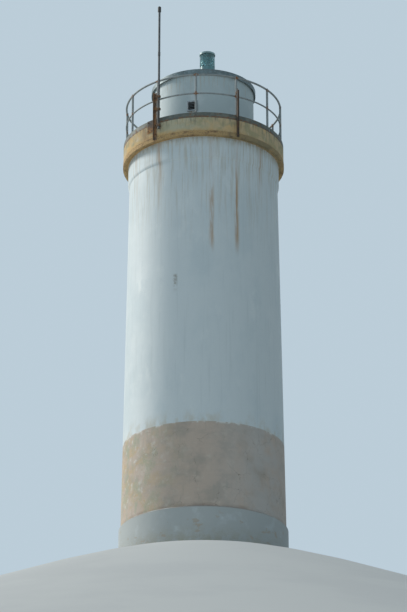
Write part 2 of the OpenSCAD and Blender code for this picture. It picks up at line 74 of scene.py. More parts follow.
def turned(name, outline, sides, capped=True):
    """A round piece: a circle at the outline's first point, extruded and resized to each next one."""
    radius, height = outline[0]
    piece = modelled(bpy.ops.mesh.primitive_circle_add, (0, 0, height), vertices=sides, radius=radius)
    piece.name = name
    bpy.ops.object.mode_set(mode="EDIT")
    bpy.ops.mesh.select_all(action="SELECT")
    for next_radius, next_height in outline[1:]:
        bpy.ops.mesh.extrude_edges_move(TRANSFORM_OT_translate={"value": (0.0, 0.0, next_height - height)})
        factor = next_radius / radius
        bpy.ops.transform.resize(value=(factor, factor, 1.0), center_override=(0.0, 0.0, 0.0))
        radius, height = next_radius, next_height
    bpy.ops.mesh.select_all(action="SELECT")
    bpy.ops.mesh.remove_doubles(threshold=merge_distance)
    if capped:
        bpy.ops.mesh.fill_holes(sides=0)
    bpy.ops.mesh.select_all(action="SELECT")
    bpy.ops.mesh.normals_make_consistent(inside=False)
    bpy.ops.object.mode_set(mode="OBJECT")
    return piece


def feed(socket, value):
    """Links a socket to another, or sets it."""
    if isinstance(value, bpy.types.NodeSocket):
        socket.id_data.links.new(value, socket)
    else:
        socket.default_value = value


def add_node(tree, kind, *values, **named):
    """Adds a node. Values feed its inputs in order, a capital name one input, a small one a setting."""
    made = tree.nodes.new("ShaderNode" + kind)
    for key, value in named.items():
        if key[0].isupper():
            feed(made.inputs[key], value)
        else:
            setattr(made, key, value)
    for socket, value in zip(made.inputs, values):
        feed(socket, value)
    return made


class Finish:
    """A finish built up in layers, from nodes that read Object coordinates."""

    def __init__(self, name, colour, roughness, metallic=0.0):
        self.material = bpy.data.materials.new(name)
        self.material.use_nodes = True
        self.node = partial(add_node, self.material.node_tree)
        self.shader = self.material.node_tree.nodes["Principled BSDF"].inputs
        self.place = self.node("TexCoord").outputs["Object"]
        self.x, self.y, self.z = self.node("SeparateXYZ", self.place).outputs
        self.layer = {}
        self.lay("Metallic", metallic)
        self.lay("Base Color", (*colour, 1.0))
        self.lay("Roughness", roughness)

    def lay(self, name, value):
        """Feeds the shader's input, and keeps the value for the next layer."""
        self.layer[name] = value
        feed(self.shader[name], value)

    def maths(self, operation, a, b=0.0):
        """One step of arithmetic."""
        return self.node("Math", a, b, operation=operation).outputs[0]

    def ramp(self, value, low, high, full=1.0):
        """A smooth rise from 0 at low to full at high."""
        made = self.node("MapRange", value, low, high, 0.0, full, interpolation_type="SMOOTHSTEP")
        return made.outputs["Result"]

    def patches(self, size, low, high, shift=(0, 0, 0), tall=1.0, detail=5.0, full=1.0, place=None):
        """Cloudy patches of about a size in metres, and some times as tall as they are wide."""
        scale = (1.0 / size, 1.0 / size, 1.0 / (size * tall))
        moved = self.node("Mapping", place or self.place, Location=shift, Scale=scale)
        cloud = self.node("TexNoise", moved.outputs["Vector"], Scale=1.0, Detail=detail, Roughness=0.6)
        return self.ramp(cloud.outputs["Fac"], low, high, full)

    def pits(self, size, reach, shift=(0, 0, 0)):
        """Round specks or pits, about a size apart, each fading out at reach of that size."""
        moved = self.node("Mapping", self.place, Location=shift)
        cells = self.node("TexVoronoi", moved.outputs["Vector"], Scale=1.0 / size)
        return self.ramp(cells.outputs["Distance"], reach, 0.0)

    def cracks(self, size, width):
        """A net of wandering hairline cracks, about a size apart and a width across, in metres."""
        wander = self.node("TexNoise", self.place, Scale=4.0 / size, Detail=4.0)
        step = self.node("VectorMath", wander.outputs["Color"], operation="SCALE", Scale=size * 0.35)
        moved = self.node("VectorMath", self.place, step.outputs["Vector"], operation="ADD")
        cells = self.node("TexVoronoi", moved.outputs["Vector"], feature="DISTANCE_TO_EDGE", Scale=1 / size)
        return self.ramp(cells.outputs["Distance"], width / size, 0.0)

    def rise(self, z_clear, z_full, full=1.0):
        """A mask by height, 0 at z_clear and full at z_full."""
        return self.ramp(self.z, z_clear, z_full, full)

    def drawn_in(self, radius):
        """The place, drawn to one radius, so that a run crosses a step in a round wall unbroken."""
        flat = self.node("CombineXYZ", self.x, self.y).outputs["Vector"]
        outward = self.node("VectorMath", flat, operation="NORMALIZE").outputs["Vector"]
        ring = self.node("VectorMath", outward, operation="SCALE", Scale=radius).outputs["Vector"]
        ring_x, ring_y, _ = self.node("SeparateXYZ", ring).outputs
        return self.node("CombineXYZ", ring_x, ring_y, self.z).outputs["Vector"]

    def turn_round(self):
        """The turn in radians, measured from the seaward side to the right."""
        return self.maths("ARCTAN2", self.x, self.maths("MULTIPLY", self.y, -1.0))

    def near_turn(self, turn, half_width):
        """A mask round a turn, both in degrees."""
        away = self.maths("ABSOLUTE", self.maths("SUBTRACT", self.turn_round(), math.radians(turn)))
        return self.ramp(away, math.radians(half_width), 0.0)

    def both(self, *masks):
        """The product of masks."""
        return reduce(partial(self.maths, "MULTIPLY"), masks)

    def either(self, *masks):
        """The highest of masks."""
        return reduce(partial(self.maths, "MAXIMUM"), masks)

    def coat(self, colour, roughness, *masks):
        """Lays a colour over what is there where the masks meet, with its roughness if it has its own."""
        amount = self.both(*masks)
        mixed = self.node("Mix", amount, data_type="RGBA")
        feed(mixed.inputs[6], self.layer["Base Color"])
        feed(mixed.inputs[7], (*colour, 1.0))
        self.lay("Base Color", mixed.outputs[2])
        if roughness is not None:
            rough = self.node("Mix", amount, data_type="FLOAT")
            feed(rough.inputs[2], self.layer["Roughness"])
            feed(rough.inputs[3], roughness)
            self.lay("Roughness", rough.outputs[0])

    def relief(self, height, depth):
        """Raises or sinks the surface, by up to depth in metres."""
        bump = self.node("Bump", invert=depth < 0, Strength=1.0, Distance=abs(depth), Height=height)
        if "Normal" in self.layer:
            feed(bump.inputs["Normal"], self.layer["Normal"])
        self.lay("Normal", bump.outputs["Normal"])

    def grain(self, size, depth, detail=5.0):
        """Roughens the whole surface, at about a size and by up to a depth in metres."""
        self.relief(self.patches(size, 0.3, 0.7, detail=detail), depth)


floor = turned("studio_floor", mound_outline, mound_sides, capped=False)
bpy.ops.object.shade_smooth()
floor_paint = Finish("studio_floor_paint", (0.6, 0.61, 0.6), 0.9)
floor_paint.coat((0.57, 0.58, 0.575), None, floor_paint.patches(3.0, 0.4, 0.6))
floor.data.materials.append(floor_paint.material)

# Studio light
# A broad key from the left and a little behind, as the sun stands in the photograph, a weak
# wide fill from the front left, and an even, cool, pale surround.
key_turn = -115.0
key_height = math.radians(36.0)
fill_from = Vector((-0.40, -0.80, 0.35))
light_distance = 30.0


def spot(turn, outward, height, right=0.0):
    """A point at a turn from the seaward side, a distance out, a height and a step to the right."""
    angle = math.radians(270.0 + turn)
    return Vector((outward * math.cos(angle) - right * math.sin(angle),
                   outward * math.sin(angle) + right * math.cos(angle), height))


def shine(shines_from, energy, spread, colour):
    """A sun that shines from a direction, with a spread in degrees."""
    bpy.ops.object.select_all(action="DESELECT")
    bpy.ops.object.light_add(type="SUN", location=shines_from * light_distance)
    light = bpy.context.object
    light.data.energy = energy
    light.data.angle = math.radians(spread)
    light.data.color = colour
    light.rotation_euler = shines_from.to_track_quat("Z", "Y").to_euler()


shine(spot(key_turn, math.cos(key_height), math.sin(key_height)), energy=2.72, spread=14.0,
      colour=(1.0, 0.965, 0.90))
shine(fill_from, energy=0.38, spread=60.0, colour=(0.78, 0.90, 1.0))

world = bpy.data.worlds.new("pale_surround")
bpy.context.scene.world = world
world.use_nodes = True
world.node_tree.nodes.clear()
sky_node = partial(add_node, world.node_tree)
rays = sky_node("LightPath").outputs
straight = sky_node("Math", rays["Is Camera Ray"], rays["Is Glossy Ray"], operation="MAXIMUM")
seen = sky_node("Math", straight.outputs[0], rays["Is Transmission Ray"], operation="MAXIMUM")
surround = sky_node("Background", (0.66, 0.86, 1.0, 1.0), 0.305)
backdrop = sky_node("Background", (0.50, 0.61, 0.69, 1.0))
chosen = sky_node("MixShader", seen.outputs[0], surround.outputs[0], backdrop.outputs[0])
sky_node("OutputWorld", Surface=chosen.outputs[0])
bpy.context.scene.view_settings.view_transform = "Standard"

# Ground floor
# A slab cast inside the foot of the wall and trowelled smooth. Only the open doorway
# would show it.


def dress(piece, finish):
    """Gives every material slot of a piece one finish."""
    if not piece.material_slots:
        piece.data.materials.append(finish.material)
    for held in piece.material_slots:
        held.material = finish.material


def floor_screed():
    """Trowelled screed, worn in patches and flecked."""
    screed = Finish("floor_screed", (0.33, 0.33, 0.31), 0.75)
    screed.coat((0.24, 0.24, 0.22), 0.6, screed.patches(0.35, 0.45, 0.7))
    screed.coat((0.4, 0.38, 0.34), None, screed.pits(0.03, 0.25, (3, 1, 0)))
    screed.grain(0.012, 0.0004)
    return screed


dress(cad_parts["ground_floor"], floor_screed())

# Plinth course
# The lowest 850 mm of the wall, 30 mm proud and chamfered at its top. Rendered concrete
# under many coats of white masonry paint, greyed partly by weather and partly with painted
# shade from the ground round its foot, chipped, and splashed at the foot.
wall_foot = 1.715
wall_top = 1.600
wall_bore = 1.320
slab_height = 9.100
plinth_top = 0.850
plinth_chamfer = 0.030
plinth_radius = 1.745
doorway_width = 0.860
doorway_top = 2.200
past_wall = 3.0
wall_sides = 240
sharp_angle = math.radians(32.0)
smooth_angle = math.radians(34.0)


def wall_radius(height):
    """The outer radius of the battered wall at a height."""
    return wall_foot + (wall_top - wall_foot) * height / slab_height


def wall_ring(name, outline, bore, sides=wall_sides):
    """A ring of wall between its outer outline, given from the foot up, and a round bore."""
    foot = outline[0][1]
    top = outline[-1][1]
    return turned(name, [(bore, foot), *outline, (bore, top), (bore, foot)], sides)


def quarters(course):
    """The names of the four CAD nodes that make up a course of wall."""
    return [course + end + side for end in ("_front", "_back") for side in ("_left", "_right")]


def select_only(*pieces):
    """Leaves some pieces selected, and the first of them active."""
    bpy.ops.object.select_all(action="DESELECT")
    for piece in pieces:
        piece.select_set(True)
    bpy.context.view_layer.objects.active = pieces[0]


def modify(piece, kind, **settings):
    """Gives a piece a modifier with its settings, and applies it."""
    select_only(piece)
    modifier = piece.modifiers.new(kind, kind)
    for key, value in settings.items():
        setattr(modifier, key, value)
    bpy.ops.object.modifier_apply(modifier=modifier.name)


def cut_away(piece, cutter):
    """Cuts one piece's shape out of another, and removes it."""
    modify(piece, "BOOLEAN", operation="DIFFERENCE", solver="EXACT", object=cutter)
    bpy.data.objects.remove(cutter)


def cut_through(piece, low, high, turn=0.0):
    """Cuts a box-shaped opening between two corners, turned about the tower's axis."""
    middle = [(a + b) / 2 for a, b in zip(low, high)]
    size = [b - a for a, b in zip(low, high)]
    cutter = modelled(bpy.ops.mesh.primitive_cube_add, middle, size=1.0, scale=size)
    cutter.data.transform(Matrix.Rotation(math.radians(turn), 4, "Z"))
    cut_away(piece, cutter)


def cut_doorway(piece):
    """Cuts the doorway through a course of the wall."""
    cut_through(piece, (-doorway_width / 2, 0.0, -1.0), (doorway_width / 2, past_wall, doorway_top))


def soften(piece, width, segments=2, held_back=True):
    """Rounds the sharp edges, held back where they lie close, and shades flat faces flat."""
    if width > 0:
        modify(piece, "BEVEL", width=width, segments=segments, limit_method="ANGLE",
               angle_limit=sharp_angle, use_clamp_overlap=held_back)
    select_only(piece)
    bpy.ops.object.shade_smooth_by_angle(angle=smooth_angle)
    modify(piece, "WEIGHTED_NORMAL", keep_sharp=True, weight=100)


def settle(piece, finish, slot_name, *node_names):
    """Gives a piece its finish and rides it on the tower, in place of CAD nodes; slot_name is not used."""
    dress(piece, finish)
    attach(piece, "root")
    if node_names:
        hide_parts(*node_names)


def white_paint(name):
    """White masonry paint on rendered concrete, with rain streaks, grime and a roller's texture."""
    # Partly painted shade: the base colour and its coats are tinted blue-grey for the cool cast that sky
    # light gives white paint in shade.
    paint = Finish(name, (0.64, 0.71, 0.73), 0.62)
    paint.coat((0.565, 0.65, 0.68), None, paint.patches(0.9, 0.42, 0.72, tall=1.6))
    paint.coat((0.5, 0.57, 0.585), 0.7, paint.patches(0.08, 0.52, 0.78, tall=22, full=0.38))
    paint.coat((0.72, 0.78, 0.785), 0.5, paint.patches(0.35, 0.55, 0.75, (7, 2, 5), tall=2, full=0.6))
    specks = paint.pits(0.09, 0.09, (0.4, 0.7, 0.2))
    paint.coat((0.42, 0.43, 0.38), 0.8, specks, paint.patches(0.5, 0.5, 0.65, (2, 0, 3)))
    paint.coat((0.53, 0.58, 0.58), 0.7, paint.patches(0.014, 0.5, 0.74, full=0.4))
    paint.grain(0.3, 0.0022, 2)
    paint.grain(0.011, 0.0007, 3)
    return paint


def plinth_paint():
    """White paint greyed partly by weather and partly with painted shade, grimed, green and splashed near
    the ground, and chipped to the render.
    """
    paint = white_paint("plinth_masonry_paint")
    # Partly painted shade: a broad grey coat over nearly all the plinth, darkening it as the ground round
    # its foot would shade it.
    paint.coat((0.41, 0.44, 0.435), 0.8, paint.patches(0.4, 0.1, 0.46, (3, 3, 3), full=0.9))
    paint.coat((0.4, 0.4, 0.35), 0.85, paint.rise(0.55, 0.0), paint.patches(0.16, 0.38, 0.62))
    paint.coat((0.3, 0.33, 0.22), 0.9, paint.rise(0.22, 0.0, 0.8),
               paint.patches(0.09, 0.45, 0.62, (1, 4, 0)))
    paint.coat((0.35, 0.34, 0.28), 0.85, paint.rise(0.6, 0.05),
               paint.patches(0.014, 0.5, 0.62, (3, 0, 1), full=0.7))
    chips = paint.both(paint.patches(0.3, 0.615, 0.635, (5, 1, 2), tall=0.6), paint.rise(0.86, 0.45))
    paint.coat((0.42, 0.385, 0.33), 0.9, chips)
    paint.relief(chips, -0.0015)
    paint.coat((0.36, 0.295, 0.25), 0.85, paint.rise(0.8, 0.835, 0.85), paint.patches(0.25, 0.3, 0.55))
    return paint


plinth = wall_ring("plinth_wall", [(plinth_radius, 0.0), (plinth_radius, plinth_top - plinth_chamfer),
                                   (wall_radius(plinth_top), plinth_top)], wall_bore)
cut_doorway(plinth)
soften(plinth, 0.005)
settle(plinth, plinth_paint(), "white_render", *quarters("plinth"))

# Bare band
# The next 1.8 m, where the paint has gone and the warm grey render shows, blotched with
# ochre and green growth on its seaward left. The doorway cuts through it.
band_top = 2.650
band_heights = (plinth_top, 1.750, band_top)
lintel_width = 1.160
band = wall_ring("band_wall", [(wall_radius(height), height) for height in band_heights], wall_bore)
cut_doorway(band)
cut_through(band, (-lintel_width / 2, 0.0, doorway_top), (lintel_width / 2, past_wall, past_wall))
soften(band, 0.0)


def bare_render(name):
    """Weathered cement render: a warm grey, patched with ochre, green growth and soot, and crazed."""
    render = Finish(name, (0.55, 0.455, 0.38), 0.88)
    render.coat((0.43, 0.375, 0.32), None, render.patches(0.55, 0.42, 0.66, tall=0.7))
    render.coat((0.59, 0.525, 0.45), None, render.patches(0.28, 0.55, 0.72, (4, 2, 9), full=0.8))
    render.coat((0.36, 0.35, 0.3), 0.9, render.patches(0.06, 0.55, 0.75, tall=9, full=0.5))
    render.coat((0.33, 0.26, 0.215), 0.9, render.rise(0.93, 0.86, 0.7), render.patches(0.3, 0.32, 0.58))
    render.coat((0.53, 0.52, 0.5), 0.85, render.near_turn(50, 55),
                render.patches(0.45, 0.24, 0.58, (6, 0, 2), full=0.8))
    render.coat((0.375, 0.33, 0.285), None, render.patches(0.008, 0.52, 0.7, full=0.55))
    render.coat((0.67, 0.62, 0.55), None, render.patches(0.006, 0.6, 0.74, (4, 4, 4), full=0.5))
    stained = render.near_turn(-62, 62)
    speckle = render.patches(0.022, 0.34, 0.58, (3, 7, 5))
    render.coat((0.55, 0.42, 0.255), 0.9, stained, speckle,
                render.patches(0.442, 0.42, 0.62, (8, 3, 1), tall=6 / 13))
    render.coat((0.39, 0.42, 0.31), 0.92, stained, speckle,
                render.patches(0.26, 0.45, 0.63, (2, 6, 4), tall=1.6))
    render.coat((0.63, 0.625, 0.57), 0.8, stained, render.patches(0.13, 0.55, 0.68, (9, 1, 7), full=0.7))
    render.coat((0.68, 0.7, 0.68), 0.65, render.rise(2.595, 2.65),
                render.patches(0.14, 0.5, 0.58, (1, 8, 3), tall=1.2))
    pinholes = (0.3, 0.3, 0.9)
    render.coat((0.26, 0.25, 0.21), 0.95, render.pits(0.05, 0.13, pinholes), render.patches(0.6, 0.45, 0.6))
    crazed = render.both(render.cracks(0.42, 0.0026), render.patches(0.55, 0.44, 0.56, (2, 7, 7)))
    render.coat((0.22, 0.185, 0.15), 0.95, crazed)
    render.relief(crazed, -0.0015)
    render.grain(0.2, 0.003, 3)
    render.grain(0.006, 0.0009, 4)
    render.relief(render.pits(0.05, 0.14, pinholes), -0.002)
    return render


settle(band, bare_render("band_bare_render"), "bare_render", *quarters("band"))

# Door lintel
# A cast beam over the doorway, with its face struck off flush with the round wall. It bears
# 150 mm on the wall at each end.
needless_bend = math.radians(0.6)


def remade(node_name, name, finish, slot_name, rounding, **how):
    """A merged copy of a CAD node's mesh, cleared of needless edges, rounded and finished."""
    piece = bpy.data.objects.new(name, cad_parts[node_name].data.copy())
    bpy.context.scene.collection.objects.link(piece)
    piece.data.materials.clear()
    select_only(piece)
    bpy.ops.mesh.customdata_custom_splitnormals_clear()
    bpy.ops.object.mode_set(mode="EDIT")
    bpy.ops.mesh.select_all(action="SELECT")
    bpy.ops.mesh.remove_doubles(threshold=merge_distance)
    bpy.ops.mesh.dissolve_limited(angle_limit=needless_bend)
    bpy.ops.object.mode_set(mode="OBJECT")
    soften(piece, rounding, **how)
    settle(piece, finish, slot_name, node_name)


remade("door_lintel", "door_lintel_beam", bare_render("lintel_render"), "bare_render", 0.004)

# Door sill
# The threshold under the leaf, cast with the floor. Feet have worn it smooth and dark along
# its middle, and it is green low down.


def sill_concrete():
    """Worn concrete, darkened by feet, with green growth low down."""
    stone = Finish("sill_concrete", (0.36, 0.36, 0.33), 0.8)
    stone.coat((0.25, 0.25, 0.22), 0.6, stone.patches(0.12, 0.42, 0.66))
    stone.coat((0.33, 0.36, 0.24), 0.9, stone.rise(0.12, 0.0, 0.8), stone.patches(0.06, 0.45, 0.6))
    stone.grain(0.01, 0.0008)
    return stone


remade("door_sill", "door_sill_block", sill_concrete(), "slab_concrete", 0.005)

# Door frame and leaf
# A framed steel door with two sunk panels, flush in its frame, painted grey-green in
# several coats. Rust shows at its foot and along its lower edges.
floor_height = 0.150


def door_paint(name, foot, head):
    """Grey-green gloss paint on steel, chalked by the weather and rusting from the foot up."""
    paint = Finish(name, (0.115, 0.185, 0.165), 0.38)
    paint.coat((0.165, 0.235, 0.21), 0.55, paint.patches(0.2, 0.42, 0.7, tall=2.4))
    paint.coat((0.075, 0.12, 0.105), 0.5, paint.patches(0.03, 0.55, 0.75, tall=14, full=0.6))
    low = paint.rise(foot + 0.26 * (head - foot), foot + 0.02)
    rust = paint.both(low, paint.patches(0.12, 0.38, 0.58, (4, 1, 7)),
                      paint.patches(0.018, 0.44, 0.56, (2, 5, 1)))
    paint.coat((0.17, 0.12, 0.075), 0.7, low, paint.patches(0.05, 0.42, 0.66, tall=5, full=0.6))
    paint.coat((0.2, 0.095, 0.045), 0.9, rust)
    paint.coat((0.33, 0.155, 0.06), 0.92, rust, paint.patches(0.01, 0.5, 0.62))
    paint.coat((0.17, 0.11, 0.07), 0.85, paint.patches(0.03, 0.68, 0.72, (1, 9, 2)))
    paint.grain(0.025, 0.0004, 2)
    paint.relief(rust, 0.0008)
    return paint


entrance_paint = door_paint("entrance_door_paint", floor_height, doorway_top)
remade("door_frame", "door_frame_steel", entrance_paint, "door_paint", 0.002)
remade("door_leaf", "door_leaf_steel", entrance_paint, "door_paint", 0.0022)

# Door fittings
# Three butt hinges and a lever handle on a plate, galvanised steel gone dull and brown,
# held by slotted screws.
hinge_screw_step = 0.042
plate_screw_step = 0.078
keyhole_drop = 0.047
landward = Vector((0.0, 1.0, 0.0))


def dull_steel(name, colour=(0.13, 0.125, 0.115), rusting=0.56):
    """Galvanised or painted steel that has gone dull, with rust coming through."""
    steel = Finish(name, colour, 0.5, metallic=0.55)
    steel.coat([c * 1.7 for c in colour], 0.62, steel.patches(0.06, 0.45, 0.7))
    rust = steel.patches(0.035, rusting, rusting + 0.07, (3, 1, 6))
    steel.coat((0.2, 0.095, 0.045), 0.88, rust)
    steel.coat((0.3, 0.145, 0.055), 0.92, rust, steel.patches(0.012, 0.5, 0.62))
    steel.grain(0.008, 0.0003)
    steel.relief(rust, 0.0006)
    return steel


def joined(name, pieces):
    """Makes one piece of several, with its place in its mesh."""
    select_only(*pieces)
    bpy.ops.object.join()
    bpy.ops.object.transform_apply(location=True, rotation=True, scale=True)
    pieces[0].name = name
    return pieces[0]


def copies(first, places):
    """Copies a small piece, modelled at the origin, to places given as matrices, and removes it."""
    made = []
    for place in places:
        copy = bpy.data.objects.new(first.name, first.data.copy())
        bpy.context.scene.collection.objects.link(copy)
        copy.matrix_world = place
        made.append(copy)
    bpy.data.objects.remove(first)
    return made


def standing(at, facing):
    """The place of a small piece that was modelled facing up: a point, and the way it faces."""
    return Matrix.Translation(at) @ facing.to_track_quat("Z", "Y").to_matrix().to_4x4()


def cylinder(height, sides, radius, depth, y=0.0):
    """A small upright cylinder, with its middle at a height and a step off the axis."""
    return modelled(bpy.ops.mesh.primitive_cylinder_add, (0, y, height), vertices=sides, radius=radius,
                    depth=depth)


def slot_screws(name, places, across):
    """Slotted screws: a low dome with a sawn slot, each standing on a face."""
    screw = cylinder(0.0004, sides=20, radius=across / 2, depth=0.0016)
    soften(screw, 0.0004)
    cut_through(screw, (-across, -across * 0.08, 0.0006), (across, across * 0.08, 0.01), turn=25.0)
    return joined(name, copies(screw, places))


def keyhole(name, place):
    """A round escutcheon with a keyhole cut in it."""
    disc = cylinder(0.0011, sides=32, radius=0.013, depth=0.0032)
    soften(disc, 0.0008)
    cut_away(disc, cylinder(0.0105, sides=20, radius=0.0033, depth=0.02, y=0.004))
    cut_through(disc, (-0.0014, -0.007, 0.0005), (0.0014, 0.004, 0.02))
    return joined(name, copies(disc, [place]))


def screws_and_keyhole(door, steel, face, across, hinge_x, hinge_heights, flap_out, handle_x, handle_z):
    """The screws of a door's hinges and handle plate, three to a hinge flap, and its keyhole."""
    spots = [(hinge_x + side * flap_out, height + step * hinge_screw_step)
             for height in hinge_heights for side in (-1, 1) for step in (-1, 0, 1)]
    spots += [(handle_x, handle_z + side * plate_screw_step) for side in (-1, 1)]
    spots.append((handle_x, handle_z - keyhole_drop))
    places = [standing(Vector((x, face, z)), landward) for x, z in spots]
    settle(slot_screws(door + "_screws", places[:-1], across), steel, "dark_steel")
    settle(keyhole(door + "_keyhole", places[-1]), steel, "dark_steel")


fittings_steel = dull_steel("fittings_steel")
remade("door_fittings", "door_hinges_and_handle", fittings_steel, "dark_steel", 0.0)
screws_and_keyhole("entrance", fittings_steel, face=1.600, across=0.008, hinge_x=0.382,
                   hinge_heights=(0.396, 1.175, 1.954), flap_out=0.031, handle_x=-0.315, handle_z=1.175)

# Shaft
# The battered white wall from the band up to the gallery: concrete with a thin render coat
# and masonry paint. Rust from the gallery's steel has run down its seaward side.
shaft_heights = (band_top, 4.800, 7.000, slab_height)
shaft = wall_ring("shaft_wall", [(wall_radius(height), height) for height in shaft_heights], wall_bore)
soften(shaft, 0.0)

# Turn and half width in degrees, the height where a run ends and its strength, and for some
# the height where it is full and the one over which it is faint
rust_runs = ((6.0, 2.8, 6.35, 0.72, 6.8, 7.5), (25.5, 2.7, 6.35, 0.8, 6.9, 7.9),
             (-35.0, 3.0, 7.0, 0.65, 9.1), (48.0, 2.6, 7.6, 0.45), (-62.0, 2.4, 7.3, 0.4),
             (96.0, 3.5, 6.9, 0.6), (152.0, 3.0, 7.2, 0.6), (-128.0, 3.4, 6.8, 0.55),
             (-165.0, 2.2, 7.7, 0.45))


def rust_run(paint, turn, half_width, z_low, full, z_top=9.0, z_faint=9.1):
    """A rust run down the wall: ragged at its sides, fainter over z_faint, lost at its foot."""
    ragged = paint.patches(0.05, 0.34, 0.56, (turn / 10, 3, 0), tall=14, place=paint.drawn_in(wall_top))
    rinsed = paint.either(paint.rise(z_faint + 0.9, z_faint), 0.3)
    return paint.both(paint.near_turn(turn, half_width), paint.rise(z_low, z_top, full), rinsed, ragged)


def streaked_paint(name):
    """White masonry paint with grey-brown streaks washed down from the gallery."""
    paint = white_paint(name)
    fine = paint.patches(0.05, 0.48, 0.66, (6, 2, 0), tall=20, full=0.7, place=paint.drawn_in(wall_top))
    paint.coat((0.5, 0.5, 0.44), 0.75, paint.rise(6.2, 8.9), fine)
    return paint


def shaft_paint():
    """Streaked white paint with the rust runs, one small stain, and dirt over the bare band."""
    paint = streaked_paint("shaft_masonry_paint")
    for run in rust_runs:
        paint.coat((0.43, 0.255, 0.115), 0.8, rust_run(paint, *run))
    paint.coat((0.27, 0.26, 0.22), 0.85, paint.near_turn(-21, 2.6), paint.rise(5.5, 5.88),
               paint.rise(5.98, 5.9), paint.patches(0.06, 0.35, 0.6))
    paint.coat((0.56, 0.55, 0.48), 0.85, paint.rise(3, 2.65, 0.7), paint.patches(0.2, 0.45, 0.66, tall=1.5))
    return paint


settle(shaft, shaft_paint(), "white_render", *quarters("shaft"))

# Collar
# A ring of render under the gallery, a little proud of the shaft, with its foot dressed back
# to the wall. It is painted with the shaft and takes the worst of the rust.
collar_foot = 8.600
collar_radius = 1.635
collar_flare = 2 * (collar_radius - wall_radius(collar_foot))
collar_edge = (wall_radius(collar_foot), collar_foot)
collar = turned("gallery_collar_ring", [collar_edge, (collar_radius, collar_foot + collar_flare),
                                        (collar_radius, slab_height), (wall_top, slab_height),
                                        collar_edge], wall_sides)
soften(collar, 0.0)


def collar_paint():
    """Streaked white paint, darker in streaks under the slab, with the heads of the rust runs."""
    paint = streaked_paint("collar_masonry_paint")
    # Darker in vertical streaks towards the slab above.
    paint.coat((0.45, 0.44, 0.36), 0.85, paint.rise(8.85, 9.1, 0.9),
               paint.patches(0.06, 0.42, 0.64, tall=6))
    for run in rust_runs:
        paint.coat((0.41, 0.235, 0.1), 0.82, rust_run(paint, *run))
    return paint


settle(collar, collar_paint(), "white_render", "gallery_collar")

# Gallery slab
# A cast disc with a drip groove under its rim. Its bare face is stained ochre and olive by
# rust and growth, darkest under the toe board.
slab_radius = 1.745
deck_height = 9.500
drip_width = 0.014
nosing_in = slab_radius - 0.060
drip_outer = nosing_in - drip_width
drip_inner = drip_outer - drip_width
drip_height = slab_height + 0.012
slab = turned("gallery_slab_disc", [(drip_inner, slab_height), (drip_inner, drip_height),
                                    (drip_outer, drip_height), (drip_outer, slab_height),
                                    (slab_radius, slab_height), (slab_radius, deck_height)], wall_sides)
soften(slab, 0.0025)


def slab_concrete():
    """Bare cast concrete, stained ochre and olive on its face and grey on its deck."""
    cast = Finish("gallery_slab_concrete", (0.56, 0.44, 0.265), 0.88)
    cast.coat((0.395, 0.35, 0.205), None, cast.patches(0.22, 0.4, 0.62, tall=0.8))
    cast.coat((0.62, 0.44, 0.22), None, cast.patches(0.3, 0.5, 0.68, (4, 7, 1)))
    cast.coat((0.65, 0.44, 0.19), 0.9, cast.near_turn(-75, 55), cast.patches(0.2, 0.4, 0.6))
    cast.coat((0.47, 0.475, 0.355), 0.88, cast.near_turn(-16, 36),
              cast.patches(0.25, 0.24, 0.58, (2, 5, 5), full=0.8))
    cast.coat((0.245, 0.235, 0.17), 0.9, cast.rise(9.2, 9.49, 0.9), cast.patches(0.035, 0.46, 0.66, tall=9))
    cast.coat((0.63, 0.55, 0.42), 0.85, cast.patches(0.07, 0.6, 0.7, (1, 2, 8), tall=3, full=0.7))
    cast.coat((0.62, 0.42, 0.185), 0.9, cast.near_turn(-45, 80), cast.rise(9.3, 9.2),
              cast.patches(0.16, 0.26, 0.52, (7, 7, 2), tall=0.5))
    cast.coat((0.44, 0.255, 0.11), 0.92, cast.rise(9.26, 9.16, 0.8), cast.patches(0.05, 0.42, 0.62))
    cast.coat((0.36, 0.235, 0.13), 0.92, cast.near_turn(-44.5, 8),
              cast.patches(0.07, 0.3, 0.56, tall=2, full=0.85))
    deck = cast.rise(deck_height - 0.0035, deck_height - 0.0005)
    cast.coat((0.31, 0.31, 0.29), 0.85, deck)
    cast.coat((0.19, 0.2, 0.17), 0.7, deck, cast.patches(0.25, 0.45, 0.65, (9, 9, 0)))
    cast.grain(0.1, 0.003, 3)
    cast.grain(0.006, 0.0008, 4)
    cast.relief(cast.pits(0.045, 0.15, (0.5, 0.1, 0.9)), -0.003)
    return cast


settle(slab, slab_concrete(), "slab_concrete", "gallery_slab")

# Slab nosing
# A steel angle cast round the slab's lower edge as a former and left on. It has scaled and
# swollen with rust.
nosing_out = slab_radius + 0.008
nosing_foot = slab_height - 0.008
nosing_top = slab_height + 0.090
nosing_rings = (nosing_foot, slab_height + 0.030, slab_height + 0.062, nosing_top)
nosing = turned("slab_nosing_angle", [
    (nosing_in, nosing_foot), *[(nosing_out, height) for height in nosing_rings], (slab_radius, nosing_top),
    (slab_radius, slab_height), (nosing_in, slab_height), (nosing_in, nosing_foot)], 2 * wall_sides)


def scale_off(piece, depth, size):
    """Eats a steel piece's outer face back unevenly, as rust does, never outwards."""
    for vertex in piece.data.vertices:
        radius = math.hypot(vertex.co.x, vertex.co.y)
        eaten = depth * max(0.0, noise.fractal(vertex.co / size, 0.9, 2.0, 4) + 0.25)
        if radius > (slab_radius + nosing_out) / 2:
            vertex.co.x *= (radius - min(eaten, depth)) / radius
            vertex.co.y *= (radius - min(eaten, depth)) / radius


scale_off(nosing, 0.005, 0.05)
soften(nosing, 0.0012, segments=1)


